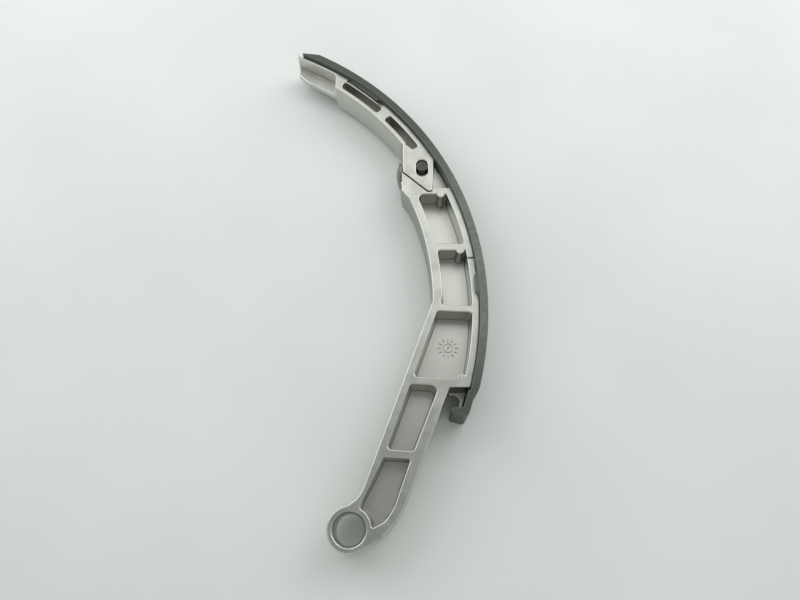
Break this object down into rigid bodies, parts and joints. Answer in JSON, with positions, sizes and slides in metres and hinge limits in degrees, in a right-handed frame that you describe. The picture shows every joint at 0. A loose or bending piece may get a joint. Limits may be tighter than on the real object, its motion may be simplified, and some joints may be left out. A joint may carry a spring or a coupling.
{
  "type": "timing chain guide",
  "caption": "Articulated curved timing chain guide: die-cast arms in a fork joint, pivot eye, pocketed ribs, thrust button and a moulded slide shoe clipped along the convex edge.",
  "frame": {"origin": "centre of the pivot bore, in the part's mid-plane", "axes": "+Z along the pivot bore towards the deep pockets, +Y up the rail towards the tip, the chain runs over the +X side"},
  "size_m": [0.1232, 0.3244, 0.026],
  "materials": {
    "cast_aluminium": "die cast and tumbled, matt",
    "moulded_nylon": "moulded, satin",
    "dark_steel": "hardened, blackened"
  },
  "bodies": {
    "lower": {"lower_arm": "cast_aluminium", "slide_shoe": "moulded_nylon", "hinge_pin": "dark_steel", "thrust_button": "dark_steel"},
    "upper": {"upper_arm": "cast_aluminium"}
  },
  "joints": [
    {"name": "knee_hinge", "type": "hinge", "parent": "lower", "child": "upper", "pos_m": [0.04017, 0.22025, 0], "axis": [0, 0, 1], "range_deg": [-2.5, 0.5], "stiffness_Nm_per_rad": 8, "deforming": ["slide_shoe"]}
  ]
}
